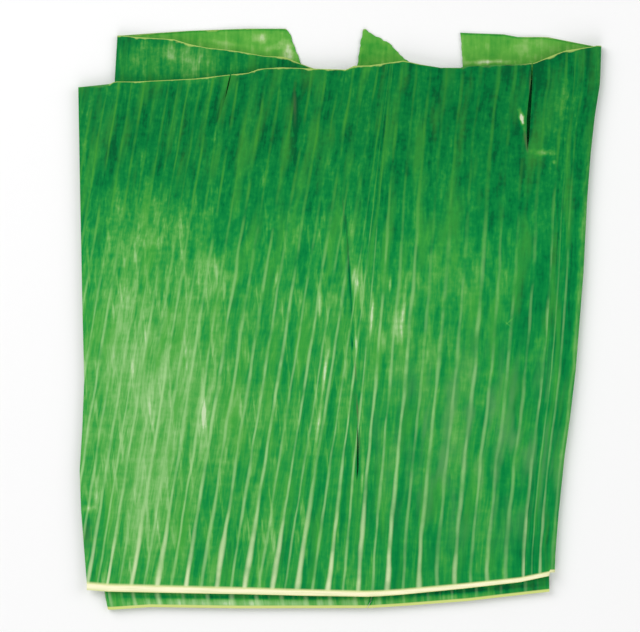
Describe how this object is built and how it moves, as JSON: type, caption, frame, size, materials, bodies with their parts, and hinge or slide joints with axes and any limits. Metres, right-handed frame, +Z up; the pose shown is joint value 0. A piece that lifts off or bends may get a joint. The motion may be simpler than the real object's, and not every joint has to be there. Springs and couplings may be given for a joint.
{
  "type": "banana leaf",
  "caption": "Fresh banana leaf, a cut width of half a blade folded in three like a letter, to lie flat as a wrapper, a plate lining or a stock bundle",
  "frame": {"origin": "middle of the folded leaf's outline as seen from above, on the surface it lies on", "axes": "X to the right along the midrib edge, with the open fold at -X and the closed fold at +X; Y from the midrib edge to the margin; Z up"},
  "size_m": [0.2882, 0.3202, 0.0081],
  "materials": {
    "leaf": "waxy satin green, ribbed along the side veins, with a cream midrib edge"
  },
  "bodies": {
    "root": {"banana_leaf": "leaf"}
  },
  "joints": []
}
